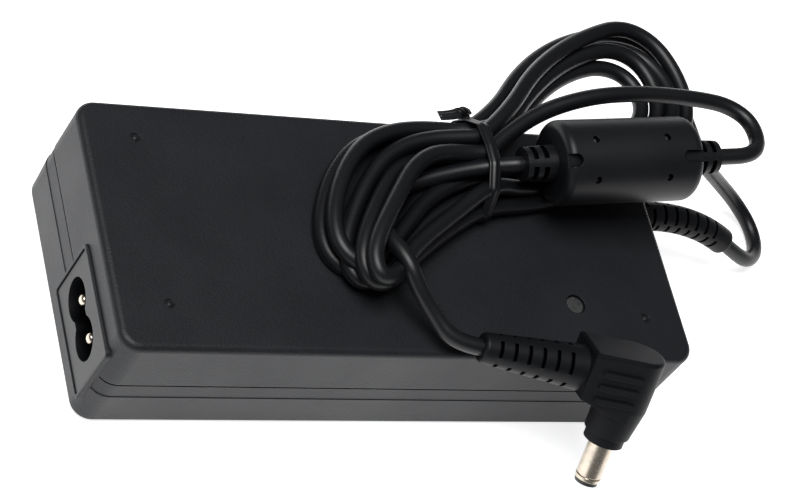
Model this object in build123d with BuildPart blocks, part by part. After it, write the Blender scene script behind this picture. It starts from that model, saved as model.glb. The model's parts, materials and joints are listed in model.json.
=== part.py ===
from build123d import *
import os
from math import pi, radians, tan

# Laptop power adapter: a sealed brick with a two-pole mains inlet and a tied output lead.
# Millimetres. Origin at the middle of the brick's underside, +X towards the output lead,
# -Y towards the side where the plug hangs, +Z up.

# ---- driving dimensions: the case -------------------------------------------------------
CASE_LENGTH = 131.8         # at the parting line, where the drafted halves are widest
CASE_WIDTH = 57.0
CASE_HEIGHT = 29.4
PARTING_Z = 10.7
GROOVE_Z = 15.3             # shadow line above the parting line
BAND_INSET = 0.12           # the band between the two lines stands back from the wall above
UPPER_DRAFT = 0.5          # degrees
LOWER_DRAFT = 1.8
WALL = 2.2
CORNER_R = 4.5
TOP_EDGE_R = 1.5
BOTTOM_EDGE_R = 1.2
HALF_L = CASE_LENGTH / 2
HALF_W = CASE_WIDTH / 2

NUB_XS, NUB_YS = (-54.3, 55.7), (-18.2, 19.8)
NUB_R, NUB_SINK = 0.8, 0.3
LED_X, LED_Y = 39.1, -15.2
LED_HOLE_R, LENS_R = 2.25, 2.1

# ---- driving dimensions: the mains inlet ------------------------------------------------
INLET_Y, INLET_Z = -13.3, 14.3
RIM_W, RIM_H = 25.2, 18.2   # raised rim on the case's end
RIM_WIDTH, RIM_PROUD = 0.75, 0.5
RIM_SHIFT = 0.55            # the rim's middle lies this far to -Y of the pins' middle
FACE_GAP, FACE_DEPTH = 0.3, 1.4     # the inlet's face fills the rim but for a fine gap
PLATE_W, PLATE_H = 20.0, 14.6
PIN_SPACING, PIN_R = 8.6, 1.18
PIN_TAIL_R, PIN_TAIL = 0.85, 2.6    # thinner where the pin is moulded in, and its end behind
RECESS_LOBE_R, RECESS_WAIST = 4.55, 5.8
RECESS_DEPTH = 12.5
INLET_BODY_DEPTH = 15.0
PLATE_INSET = 0.25          # the inlet's face lies this far inside the rim's face
PIN_TIP_INSET = 0.55

# ---- driving dimensions: the output lead ------------------------------------------------
CORD_D = 3.6
RELIEF_Y, RELIEF_Z = 16.6, 16.2
RELIEF_STRAIGHT, RELIEF_BEND_R, RELIEF_BEND = 11.0, 45.0, 30.0
RELIEF_R0, RELIEF_R1 = 3.45, 3.15
FERRITE_R = 9.05
FERRITE_LEFT = Vector(33.3, 11.2, 42.3)
FERRITE_RIGHT = Vector(65.9, 12.1, 46.3)
FERRITE_NOSE = 6.8          # short strain relief at each end of the ferrite cover
NOSE_R0, NOSE_R1 = 4.0, 3.6
NOSE_SLOT_DEPTH, NOTCH_DEPTH = 1.6, 1.35
MOULDING_HOLE_R, MOULDING_HOLE_SHIFT = 0.75, -1.0
CORE_R, CORE_BORE_R, CORE_LENGTH = 7.6, 3.9, 26.0
TIE_X, TIE_WIDTH, TIE_THICK = 20.5, 3.4, 0.8
BUNDLE_Y, BUNDLE_Z = 14.8, 35.2   # middle of the strands inside the tie
BUNDLE_HALF_Y, BUNDLE_HALF_Z = 11.0, 4.8
HANK_Z = 29.75              # the wound cord lies on the case's top
LEFT_LOBE, RIGHT_LOBE = (0.5, 4.2), (58.5, 33.0)

# ---- driving dimensions: the elbow plug -------------------------------------------------
ELBOW = Vector(43.1, -35.2, 34.2)
PLUG_U = Vector(0.980, -0.197, 0.020).normalized()     # away from the cord
PLUG_W = Vector(-0.088, -0.530, -0.848)
PLUG_W = (PLUG_W - PLUG_U * PLUG_W.dot(PLUG_U)).normalized()  # along the barrel, outwards
BODY_BACK, BODY_HALF_T, BODY_TOP = 11.4, 5.5, 5.9
BODY_LOW_BACK, BODY_LOW_FRONT = 4.6, 8.4    # its underside slopes down towards the barrel
HEAD_SHIFT = 0.6            # the head's round end stands this far beyond the barrel's axis
SKIRT_R1, SKIRT_END = 4.9, 12.8
COLLAR_R, COLLAR_END = 4.3, 15.0
BARREL_R, BARREL_ROOT_R, BARREL_BORE_R = 2.75, 2.45, 2.2
BARREL_END, BARREL_LAND = 24.2, 23.1
TIP_R, TIP_END, WIRE_HOLE_R = 2.5, 25.1, 0.6
CONTACT_R, CONTACT_BORE_R, CONTACT_START, CONTACT_END = 1.65, 1.25, 13.5, 23.8
PLUG_RELIEF_LENGTH, PLUG_RELIEF_R0, PLUG_RELIEF_R1 = 22.5, 4.8, 3.15
SLOT_W, SLOT_DEPTH = 0.85, 1.45

# ---- driving dimensions: inside the case ------------------------------------------------
BOARD_Z, BOARD_T = 4.8, 1.6
DECK = BOARD_Z + BOARD_T    # components stand on this level

# ---- the output lead's route where it isn't wound ---------------------------------------
LEAD_IN = [
    (104.4, 13.0, 7.9),
    (110.4, 12.9, 4.6),
    (115.8, 17.4, 2.4),
    (116.6, 24.2, 2.4),
    (112.4, 29.4, 4.9),
    (104.4, 30.8, 10.6),
    (96.0, 30.0, 17.4),
    (89.0, 29.6, 24.2),
    (83.6, 31.8, 30.0),
    (80.8, 37.0, 32.8),
]
FERRITE_TURN = [
    (25.0, 18.6, 39.6),
    (34.6, 24.4, 42.0),
    (46.0, 27.2, 45.0),
    (57.4, 28.2, 46.3),
    (67.6, 28.3, 46.4),
    (76.0, 28.0, 46.3),
    (82.0, 26.9, 46.4),
    (86.4, 23.2, 46.7),
    (86.4, 16.8, 47.2),
]
FERRITE_ENTRY = 16.3        # the turn comes onto the ferrite's axis this far to its right
PLUG_LEAD = [
    (-6.3, -12.8, 39.9),
    (-3.5, -18.0, 37.5),
    (0.5, -22.7, 34.8),
]


def save(piece, name):
    """Label a finished piece and write its own STEP file."""
    piece.part.label = name
    export_step(piece.part, f"parts/{name}.step")


def rounded_run(points):
    """The route as straight runs joined by arcs as large as the runs allow."""
    corners = [Vector(p) for p in points]
    arcs = []
    for before, here, after in zip(corners, corners[1:], corners[2:]):
        turn = radians((here - before).get_angle(after - here))
        shorter = min((here - before).length, (after - here).length)
        arcs.append(0.45 * shorter / tan(turn / 2))
    return FilletPolyline(*corners, radius=arcs), arcs


def cord_tube(points, name):
    """A plain round tube of the cord's diameter along its route."""
    with BuildPart() as tube:
        with BuildLine() as route:
            arcs = rounded_run(points)[1]
        path = route.wires()[0]
        with BuildSketch(Plane(path @ 0, z_dir=path % 0)):
            Circle(CORD_D / 2)
        sweep(path=path)
    expected = pi * CORD_D**2 / 4 * path.length
    print(f"{name}: length {path.length:.1f}, radii {[round(r, 1) for r in arcs]},",
          f"volume / (section x length) = {tube.part.volume / expected:.4f}")
    save(tube, name)
    return path.length


# ---- case -------------------------------------------------------------------------------
def upper_block(inset):
    """The upper half's outside, drafted inwards towards the top, moved in by `inset`."""
    with BuildPart() as block:
        with BuildSketch(Plane.XY.offset(PARTING_Z)):
            RectangleRounded(CASE_LENGTH - 2 * inset, CASE_WIDTH - 2 * inset,
                             max(CORNER_R - inset, 1.5))
        extrude(amount=CASE_HEIGHT - inset - PARTING_Z, taper=UPPER_DRAFT)
        edge_r = TOP_EDGE_R if inset == 0 else 0.6
        fillet(block.edges().group_by(Axis.Z)[-1], edge_r)
    return block.part


def lower_block(inset):
    """The lower half's outside, drafted inwards towards the floor, moved in by `inset`."""
    with BuildPart() as block:
        with BuildSketch(Plane.XY.offset(PARTING_Z)):
            RectangleRounded(CASE_LENGTH - 2 * inset, CASE_WIDTH - 2 * inset,
                             max(CORNER_R - inset, 1.5))
        extrude(amount=-(PARTING_Z - inset), taper=LOWER_DRAFT)
        edge_r = BOTTOM_EDGE_R if inset == 0 else 0.6
        fillet(block.edges().group_by(Axis.Z)[0], edge_r)
    return block.part


def inlet_plane(x):
    """A plane at the inlet's middle, its X axis along -Y and its normal out of the case."""
    return Plane(origin=(x, INLET_Y, INLET_Z), x_dir=(0, -1, 0), z_dir=(-1, 0, 0))


def band_ring():
    """The strip taken off the upper half between the parting line and the groove."""
    with BuildPart() as ring:
        with BuildSketch(Plane.XY.offset(PARTING_Z)):
            RectangleRounded(CASE_LENGTH + 4, CASE_WIDTH + 4, CORNER_R)
            RectangleRounded(CASE_LENGTH - 2 * BAND_INSET, CASE_WIDTH - 2 * BAND_INSET,
                             CORNER_R, mode=Mode.SUBTRACT)
        extrude(amount=GROOVE_Z - PARTING_Z, taper=0)
        with BuildSketch(Plane.XY.offset(GROOVE_Z - 0.25)):
            RectangleRounded(CASE_LENGTH + 4, CASE_WIDTH + 4, CORNER_R)
            RectangleRounded(CASE_LENGTH - 2.0, CASE_WIDTH - 2.0,
                             CORNER_R - 0.7, mode=Mode.SUBTRACT)
        extrude(amount=0.5)
    return ring.part


def inlet_rim_block():
    """The raised rim's outer block on the end wall, shared out between the two halves."""
    with BuildPart() as rim:
        with BuildSketch(inlet_plane(-HALF_L - RIM_PROUD)):
            with Locations((RIM_SHIFT, 0)):
                RectangleRounded(RIM_W, RIM_H, 1.2)
        extrude(amount=-(WALL + RIM_PROUD))
        fillet(rim.faces().sort_by(Axis.X)[0].outer_wire().edges(), 0.35)
    return rim.part


def inlet_opening():
    """The hole through the rim that the inlet's face fills."""
    with BuildPart() as hole:
        with BuildSketch(inlet_plane(-HALF_L - RIM_PROUD - 1)):
            with Locations((RIM_SHIFT, 0)):
                RectangleRounded(RIM_W - 2 * RIM_WIDTH, RIM_H - 2 * RIM_WIDTH, 0.8)
        extrude(amount=-(PLATE_INSET + FACE_DEPTH + 1.0))
        with BuildSketch(inlet_plane(-HALF_L)):
            RectangleRounded(PLATE_W + 0.1, PLATE_H + 0.1, 0.6)
        extrude(amount=-(WALL + 4))
    return hole.part


def relief_hole(radius):
    """The round hole in the far end wall that the strain relief's neck fills."""
    with BuildPart() as hole:
        with BuildSketch(Plane(origin=(HALF_L - WALL - 3, RELIEF_Y, RELIEF_Z), z_dir=(1, 0, 0))):
            Circle(radius)
        extrude(amount=WALL + 8)
    return hole.part


def half_space(z_low, z_high):
    """A slab larger than the case, for sharing the inlet's rim between the halves."""
    return Pos(0, 0, (z_low + z_high) / 2) * Box(CASE_LENGTH + 40, CASE_WIDTH + 40, z_high - z_low)


def half_space_x(x_low, x_high):
    """A slab across the cord, for cutting a lobe short of the tie."""
    return Pos((x_low + x_high) / 2, 0, 30) * Box(x_high - x_low, 160, 60)


def make_shells():
    outside_top, outside_bottom = upper_block(0), lower_block(0)
    cavity_top, cavity_bottom = upper_block(WALL), lower_block(WALL)
    band, neck_hole, opening = band_ring(), relief_hole(3.95), inlet_opening()
    rim = inlet_rim_block()
    rim_top, rim_bottom = rim & half_space(PARTING_Z, CASE_HEIGHT), rim & half_space(-1, PARTING_Z)
    nub_places = [(x, y) for x in NUB_XS for y in NUB_YS]

    with BuildPart() as top_shell:
        add(outside_top)
        add(band, mode=Mode.SUBTRACT)
        add(rim_top)
        add(cavity_top, mode=Mode.SUBTRACT)
        # socket for the lower half's tongue
        with BuildSketch(Plane.XY.offset(PARTING_Z)):
            RectangleRounded(CASE_LENGTH - 2 * WALL + 2.1, CASE_WIDTH - 2 * WALL + 2.1, 2.8)
        extrude(amount=1.7, mode=Mode.SUBTRACT)
        add(opening, mode=Mode.SUBTRACT)
        add(neck_hole, mode=Mode.SUBTRACT)
        with Locations((LED_X, LED_Y, CASE_HEIGHT)):
            Cylinder(LED_HOLE_R, 3 * WALL, mode=Mode.SUBTRACT)
        # guide tube round the light pipe
        with BuildSketch(Plane.XY.offset(CASE_HEIGHT - WALL + 0.2)):
            with Locations((LED_X, LED_Y)):
                Circle(LED_HOLE_R + 1.0)
                Circle(LED_HOLE_R, mode=Mode.SUBTRACT)
        extrude(amount=-3.0)
        # four small domes, each in a shallow round sink
        with Locations(*[(x, y, CASE_HEIGHT) for x, y in nub_places]):
            Cylinder(NUB_R + NUB_SINK, 0.5, mode=Mode.SUBTRACT)
        with Locations(*[(x, y, CASE_HEIGHT - NUB_R * 0.75) for x, y in nub_places]):
            Sphere(NUB_R)
    save(top_shell, "top_shell")

    with BuildPart() as bottom_shell:
        add(outside_bottom)
        add(rim_bottom)
        add(cavity_bottom, mode=Mode.SUBTRACT)
        # tongue that stands inside the upper half
        with BuildSketch(Plane.XY.offset(PARTING_Z - 0.4)):
            RectangleRounded(CASE_LENGTH - 2 * WALL + 1.9, CASE_WIDTH - 2 * WALL + 1.9, 2.7)
            RectangleRounded(CASE_LENGTH - 2 * WALL, CASE_WIDTH - 2 * WALL, 2.3,
                             mode=Mode.SUBTRACT)
        extrude(amount=1.9)
        add(opening, mode=Mode.SUBTRACT)
        # posts under the circuit board
        with BuildSketch(Plane.XY.offset(WALL - 0.2)):
            with Locations((-44, -21), (-44, 21), (57, -21), (57, 21), (6, 0)):
                Circle(2.6)
        extrude(amount=BOARD_Z - WALL + 0.2)
        # shallow sink for the rating label
        with BuildSketch(Plane.XY):
            RectangleRounded(88, 38, 2)
        extrude(amount=0.3, mode=Mode.SUBTRACT)
        with Locations((0, 0, 0.15)):
            Cylinder(4, 0.3)
    save(bottom_shell, "bottom_shell")

    with BuildPart() as label:
        with BuildSketch(Plane.XY.offset(0.15)):
            RectangleRounded(87, 37, 1.8)
            Circle(4.2, mode=Mode.SUBTRACT)
        extrude(amount=0.15)
    save(label, "rating_label_blank")

    with BuildPart() as pipe:
        with Locations((LED_X, LED_Y, CASE_HEIGHT - 0.45)):
            Cylinder(LENS_R, 13.5, align=(Align.CENTER, Align.CENTER, Align.MAX))
        fillet(pipe.edges().group_by(Axis.Z)[-1], 0.4)
    save(pipe, "led_light_pipe")


# ---- mains inlet ------------------------------------------------------------------------
def make_inlet():
    face_x = -HALF_L - RIM_PROUD + PLATE_INSET
    with BuildPart() as body:
        with BuildSketch(inlet_plane(face_x)):
            RectangleRounded(PLATE_W, PLATE_H, 0.5)
        extrude(amount=-INLET_BODY_DEPTH)
        with BuildSketch(inlet_plane(face_x)):
            with Locations((RIM_SHIFT, 0)):
                RectangleRounded(RIM_W - 2 * (RIM_WIDTH + FACE_GAP),
                                 RIM_H - 2 * (RIM_WIDTH + FACE_GAP), 0.5)
        extrude(amount=-FACE_DEPTH)
        # the figure-of-eight recess: a lobe round each pin and a narrower waist
        with BuildSketch(inlet_plane(face_x)):
            with Locations((-PIN_SPACING / 2, 0), (PIN_SPACING / 2, 0)):
                Circle(RECESS_LOBE_R)
            Rectangle(PIN_SPACING * 0.62, RECESS_WAIST)
        extrude(amount=-RECESS_DEPTH, mode=Mode.SUBTRACT)
        # a shoulder that hooks behind the end wall
        with BuildSketch(inlet_plane(-HALF_L + WALL + 0.6)):
            RectangleRounded(PLATE_W + 2.4, PLATE_H + 2.0, 0.8)
            RectangleRounded(PLATE_W - 0.5, PLATE_H - 0.5, 0.4, mode=Mode.SUBTRACT)
        extrude(amount=-1.5)
        with BuildSketch(inlet_plane(face_x)):
            with Locations((-PIN_SPACING / 2, 0), (PIN_SPACING / 2, 0)):
                Circle(PIN_TAIL_R)
        extrude(amount=-INLET_BODY_DEPTH, mode=Mode.SUBTRACT)
    save(body, "inlet_body")

    with BuildPart() as pins:
        with BuildSketch(inlet_plane(face_x + PIN_TIP_INSET)):
            with Locations((-PIN_SPACING / 2, 0), (PIN_SPACING / 2, 0)):
                Circle(PIN_R)
        extrude(amount=-(RECESS_DEPTH - PIN_TIP_INSET))
        fillet(pins.faces().filter_by(Axis.X).group_by(Axis.X)[0].edges(), PIN_R * 0.72)
        with BuildSketch(inlet_plane(face_x + RECESS_DEPTH)):
            with Locations((-PIN_SPACING / 2, 0), (PIN_SPACING / 2, 0)):
                Circle(PIN_TAIL_R)
        extrude(amount=-(INLET_BODY_DEPTH - RECESS_DEPTH + PIN_TAIL))
    save(pins, "inlet_pins")


# ---- strain reliefs, ferrite and tie ----------------------------------------------------
def slot_places(line, fractions):
    """Places on the case relief's skin for four staggered rows of slots: a quarter turn
    apart, and each second row half a pitch further on."""
    places = []
    half_pitch = (fractions[1] - fractions[0]) / 2
    for row in range(4):
        for fraction in fractions:
            t = fraction + (half_pitch if row % 2 else 0)
            skin = RELIEF_R0 + (RELIEF_R1 - RELIEF_R0) * t
            places.append(line.location_at(t) * Rot(0, 0, 45 + 90 * row) * Pos(skin, 0, 0))
    return places


def make_case_relief():
    bend_plane = Plane(origin=(HALF_L, RELIEF_Y, RELIEF_Z), x_dir=(1, 0, 0),
                       z_dir=Vector(0, 0.916, -0.4))
    with BuildPart() as relief:
        with BuildLine(bend_plane) as path:
            Line((-WALL - 1.6, 0), (RELIEF_STRAIGHT, 0))
            JernArc((RELIEF_STRAIGHT, 0), (1, 0), RELIEF_BEND_R, RELIEF_BEND)
        wire = path.wires()[0]
        start = Plane(wire @ 0, z_dir=wire % 0)
        with BuildSketch(start):
            Circle(RELIEF_R0)
        with BuildSketch(Plane(wire @ 1, z_dir=wire % 1)):
            Circle(RELIEF_R1)
        sweep(path=wire, multisection=True)
        # neck in the wall's hole, and the flange behind the wall
        with BuildSketch(Plane(origin=(HALF_L + 0.6, RELIEF_Y, RELIEF_Z), z_dir=(-1, 0, 0))):
            Circle(3.9)
        extrude(amount=WALL + 1.8)
        with BuildSketch(Plane(origin=(HALF_L - WALL - 0.6, RELIEF_Y, RELIEF_Z), z_dir=(-1, 0, 0))):
            Circle(5.4)
        extrude(amount=1.4)
        fillet(relief.faces().sort_by(Axis.X)[-1].edges(), 0.8)
        outside = [0.27 + 0.08 * i for i in range(8)]
        with Locations(*slot_places(wire, outside)):
            Box(2 * SLOT_DEPTH, 4.4, SLOT_W, mode=Mode.SUBTRACT)
    save(relief, "case_strain_relief")
    return wire @ 1


def make_ferrite():
    along = (FERRITE_RIGHT - FERRITE_LEFT).normalized()
    length = (FERRITE_RIGHT - FERRITE_LEFT).length
    middle = (FERRITE_LEFT + FERRITE_RIGHT) / 2
    seen = Vector(0, -0.485, 0.875)
    seen = (seen - along * seen.dot(along)).normalized()
    across = Plane(origin=middle, x_dir=seen, z_dir=along)
    with BuildPart() as core:
        with BuildSketch(across.offset(-CORE_LENGTH / 2)):
            Circle(CORE_R)
            Circle(CORE_BORE_R, mode=Mode.SUBTRACT)
        extrude(amount=CORE_LENGTH)
        chamfer(core.edges().filter_by(GeomType.CIRCLE), 0.4)
    save(core, "ferrite_core")

    with BuildPart() as cover:
        with BuildSketch(across.offset(-length / 2)):
            Circle(FERRITE_R)
        extrude(amount=length)
        rims = cover.edges().filter_by(GeomType.CIRCLE).sort_by(Axis.X)
        fillet(rims[0], 1.8)
        fillet(rims[-1], 2.6)
        for side in (-1, 1):
            nose = Plane(origin=middle + along * (side * (length / 2 - 0.5)), x_dir=seen,
                         z_dir=along * side)
            with BuildSketch(nose):
                Circle(NOSE_R0)
            with BuildSketch(nose.offset(FERRITE_NOSE + 0.5)):
                Circle(NOSE_R1)
            loft()
            for step in (2.6, 5.0):
                for row in range(4):
                    turn = nose.offset(step + 0.5).location * Rot(0, 0, 45 + 90 * row)
                    with Locations(turn * Pos(NOSE_R0, 0, 0)):
                        Box(2 * NOSE_SLOT_DEPTH, 3.9, 1.2, mode=Mode.SUBTRACT)
        # long notch at each end and four moulding holes on the side that is uppermost
        skin = Plane(origin=middle + seen * FERRITE_R, x_dir=along, z_dir=seen)
        with BuildSketch(skin.offset(-NOTCH_DEPTH)):
            with Locations((-length / 2 - 3.4, 0)):
                SlotOverall(13.0, 2.8)
            with Locations((length / 2 - 0.2, 0)):
                SlotOverall(11.0, 2.6)
        extrude(amount=3, mode=Mode.SUBTRACT)
        with BuildSketch(skin.offset(-2.9)):
            with Locations((MOULDING_HOLE_SHIFT, 0)):
                with GridLocations(17.1, 8.5, 2, 2):
                    Circle(MOULDING_HOLE_R)
        extrude(amount=4, mode=Mode.SUBTRACT)
        with BuildSketch(across.offset(-length)):
            Circle(CORD_D / 2 + 0.03)
        extrude(amount=2 * length, mode=Mode.SUBTRACT)
        with BuildSketch(across.offset(-CORE_LENGTH / 2)):
            Circle(CORE_R)
            Circle(CORE_BORE_R, mode=Mode.SUBTRACT)
        extrude(amount=CORE_LENGTH, mode=Mode.SUBTRACT)
    save(cover, "ferrite_cover")
    return middle - along * (length / 2 + FERRITE_NOSE), along


def make_tie():
    with BuildPart() as tie:
        with BuildSketch(Plane(origin=(TIE_X - TIE_WIDTH / 2, BUNDLE_Y, BUNDLE_Z),
                               x_dir=(0, 1, 0), z_dir=(1, 0, 0))):
            Ellipse(BUNDLE_HALF_Y + 0.1 + TIE_THICK, BUNDLE_HALF_Z + 0.1 + TIE_THICK)
            Ellipse(BUNDLE_HALF_Y + 0.1, BUNDLE_HALF_Z + 0.1, mode=Mode.SUBTRACT)
        extrude(amount=TIE_WIDTH)
        # twisted tail folded back along the strands
        with BuildSketch(Plane(origin=(TIE_X + TIE_WIDTH / 2, BUNDLE_Y + BUNDLE_HALF_Y + 0.9, 37.0),
                               x_dir=(0, 1, 0), z_dir=(-1, 0, 0))):
            Rectangle(1.4, 3.2)
        extrude(amount=11.5)
    save(tie, "twist_tie")


def lobe(z, depth, middle, tilt, half_long, half_short, eye_x, eye_long):
    """A flat ellipse of wound cord with the open eye inside its turns."""
    with BuildPart() as plate:
        with BuildSketch(Plane.XY.offset(z)):
            with Locations(Location((middle[0], middle[1], 0), (0, 0, tilt))):
                Ellipse(half_long, half_short)
                with Locations((eye_x, 0)):
                    Ellipse(eye_long, 5.0, mode=Mode.SUBTRACT)
        extrude(amount=depth)
    return plate.part


def make_hank():
    """One closed solid of the wound cord's outer shape: a left and a right lobe and the tied
    waist between them. The right lobe is thin where the ferrite lies on it."""
    left = lobe(HANK_Z, 8.1, LEFT_LOBE, 37, 25.5, 13.2, -3.0, 14.0)
    left = left & half_space_x(-60, TIE_X - TIE_WIDTH / 2 - 0.3)
    right = lobe(HANK_Z, 3.0, RIGHT_LOBE, 35, 28.5, 17.6, 1.0, 11.0)
    right_back = lobe(HANK_Z + 3.0, 5.0, RIGHT_LOBE, 35, 28.5, 17.6, 1.0, 11.0)
    right_back = right_back & (Pos(60, 50, 35) * Box(90, 50, 20))
    with BuildPart() as hank:
        add([left, right, right_back])
        with BuildSketch(Plane(origin=(9.0, BUNDLE_Y, BUNDLE_Z), x_dir=(0, 1, 0), z_dir=(1, 0, 0))):
            Ellipse(BUNDLE_HALF_Y, BUNDLE_HALF_Z)
        extrude(amount=16.0)
        with BuildSketch(Plane(origin=(25.0, BUNDLE_Y, BUNDLE_Z), x_dir=(0, 1, 0), z_dir=(1, 0, 0))):
            Ellipse(BUNDLE_HALF_Y, BUNDLE_HALF_Z)
        with BuildSketch(Plane(origin=(31.0, BUNDLE_Y + 4, HANK_Z + 1.5), x_dir=(0, 1, 0),
                               z_dir=(1, 0, 0))):
            Ellipse(BUNDLE_HALF_Y, 1.5)
        loft()
        with Locations((37.0, BUNDLE_Y + 5, HANK_Z)):
            Box(16, 18, 2.6, align=(Align.CENTER, Align.CENTER, Align.MIN))
    save(hank, "cord_hank")


# ---- plug -------------------------------------------------------------------------------
def plug_plane(depth):
    """A plane across the barrel, `depth` along it from the elbow's middle."""
    return Plane(origin=ELBOW + PLUG_W * depth, x_dir=PLUG_U, z_dir=PLUG_W)


def tube_slices(slices):
    """Rings on the plug's barrel axis, each given as (start, end, radius, bore radius)."""
    with BuildPart() as stack:
        for start, end, radius, bore in slices:
            with BuildSketch(plug_plane(start)):
                Circle(radius)
                Circle(bore, mode=Mode.SUBTRACT)
            extrude(amount=end - start)
    return stack


def make_plug():
    with BuildPart() as body:
        with BuildSketch(plug_plane(-BODY_TOP)):
            with Locations((HEAD_SHIFT, 0)):
                Circle(BODY_HALF_T)
        extrude(amount=2 * BODY_TOP)
        side_view = Plane(origin=ELBOW, x_dir=PLUG_U, z_dir=PLUG_U.cross(PLUG_W))
        with BuildSketch(side_view):
            Polygon((-BODY_BACK, -BODY_TOP), (HEAD_SHIFT, -BODY_TOP), (HEAD_SHIFT, BODY_LOW_FRONT),
                    (-BODY_BACK, BODY_LOW_BACK), align=None)
        extrude(amount=BODY_HALF_T, both=True)
        fillet(body.faces().sort_by(Axis((0, 0, 0), tuple(PLUG_W)))[0].outer_wire().edges(), 0.8)
        with BuildSketch(plug_plane(BODY_TOP)):
            with Locations((HEAD_SHIFT, 0)):
                Circle(BODY_HALF_T)
        with BuildSketch(plug_plane(SKIRT_END)):
            Circle(SKIRT_R1)
        loft()
        # three grip ribs on each broad side
        for side in (-1, 1):
            broad = Plane(origin=ELBOW + (PLUG_W.cross(PLUG_U)) * (side * (BODY_HALF_T - 0.3)),
                          x_dir=PLUG_U, z_dir=(PLUG_W.cross(PLUG_U)) * side)
            down = 1 if side < 0 else -1
            with BuildSketch(broad):
                with Locations(*[(-3.9, -down * d) for d in (-4.2, -1.2, 1.8)]):
                    SlotOverall(9.4, 1.3)
            extrude(amount=0.75)
        # the inside is one bore for the contacts
        with BuildSketch(plug_plane(-2.0)):
            Circle(BARREL_ROOT_R)
        extrude(amount=SKIRT_END + 4, mode=Mode.SUBTRACT)
    save(body, "plug_body")

    with BuildPart() as relief:
        back = Plane(origin=ELBOW - PLUG_U * BODY_BACK, x_dir=PLUG_W, z_dir=PLUG_U * -1)
        with BuildSketch(back):
            Circle(PLUG_RELIEF_R0)
        with BuildSketch(back.offset(PLUG_RELIEF_LENGTH)):
            Circle(PLUG_RELIEF_R1)
        loft()
        far_face = relief.faces().sort_by(Axis((0, 0, 0), tuple(PLUG_U)))[0]
        fillet(far_face.edges(), 0.8)
        slope = (PLUG_RELIEF_R1 - PLUG_RELIEF_R0) / PLUG_RELIEF_LENGTH
        for row in range(4):
            for i in range(6):
                along = 3.8 + 3.08 * i
                skin = PLUG_RELIEF_R0 + slope * along
                place = back.offset(along).location * Rot(0, 0, 29 + 90 * row) * Pos(skin, 0, 0)
                with Locations(place):
                    Box(2 * SLOT_DEPTH, skin, SLOT_W, mode=Mode.SUBTRACT)
    save(relief, "plug_strain_relief")

    collar = tube_slices([(SKIRT_END, COLLAR_END, COLLAR_R, BARREL_ROOT_R)])
    save(collar, "plug_collar")
    barrel = tube_slices([
        (-2.0, COLLAR_END, BARREL_ROOT_R, BARREL_BORE_R),
        (COLLAR_END, BARREL_LAND, BARREL_R, BARREL_BORE_R),
        (BARREL_LAND, BARREL_LAND + 0.35, BARREL_R - 0.25, BARREL_BORE_R),
        (BARREL_LAND + 0.35, BARREL_END, BARREL_R, BARREL_BORE_R),
    ])
    save(barrel, "plug_barrel")
    insulator = tube_slices([
        (1.0, CONTACT_START, BARREL_BORE_R, WIRE_HOLE_R),
        (CONTACT_START, BARREL_END, BARREL_BORE_R, CONTACT_R),
        (BARREL_END, TIP_END, TIP_R, CONTACT_R),
    ])
    save(insulator, "plug_insulator")
    contact = tube_slices([(CONTACT_START, CONTACT_END, CONTACT_R, CONTACT_BORE_R)])
    save(contact, "plug_inner_contact")


# ---- electronics ------------------------------------------------------------------------
def box_piece(name, x, y, z, length, width, height, edge=0.0):
    """A moulded or sheet block standing at level z."""
    with BuildPart() as piece:
        with Locations((x, y, z)):
            Box(length, width, height, align=(Align.CENTER, Align.CENTER, Align.MIN))
        if edge:
            fillet(piece.edges().filter_by(Axis.Z), edge)
    save(piece, name)


def make_board():
    with BuildPart() as board:
        with BuildSketch(Plane.XY.offset(BOARD_Z)):
            with Locations((6.5, 0)):
                RectangleRounded(109, 49.5, 2)
            with Locations((-45, INLET_Y)):
                Rectangle(10, 21, mode=Mode.SUBTRACT)
        extrude(amount=BOARD_T)
    save(board, "circuit_board")


def make_input_stage():
    box_piece("mains_fuse", -42.5, 8.0, DECK, 8.6, 4.2, 8.0, 0.6)
    box_piece("x_capacitor", -41.0, 17.5, DECK, 17.5, 8.5, 15.0, 0.8)
    box_piece("bridge_rectifier", -27.0, -20.95, DECK, 15.0, 4.4, 15.5, 0.4)
    with BuildPart() as choke:
        with BuildSketch(Plane(origin=(-29.0, 2.0, DECK + 9.2), z_dir=(0, 1, 0))):
            Circle(9.0)
            Circle(4.2, mode=Mode.SUBTRACT)
        extrude(amount=9.0)
        fillet(choke.edges().filter_by(GeomType.CIRCLE), 1.4)
    save(choke, "common_mode_choke")
    with BuildPart() as disc_part:
        with BuildSketch(Plane(origin=(-42.6, -0.2, DECK + 5.6), z_dir=(1, 0, 0))):
            Circle(5.2)
        extrude(amount=4.0)
        fillet(disc_part.edges().filter_by(GeomType.CIRCLE), 1.2)
    save(disc_part, "inrush_thermistor")
    with BuildPart() as can:
        with BuildSketch(Plane(origin=(-22.0, -9.6, DECK + 9.2), z_dir=(1, 0, 0))):
            Circle(9.0)
        extrude(amount=32.0)
        fillet(can.edges().filter_by(GeomType.CIRCLE), 1.0)
    save(can, "bulk_capacitor")
    with BuildPart() as pfc:
        with BuildSketch(Plane(origin=(-8.5, 15.0, DECK))):
            RectangleRounded(17.0, 15.0, 1.0)
        extrude(amount=17.5)
    save(pfc, "pfc_choke")


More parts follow.
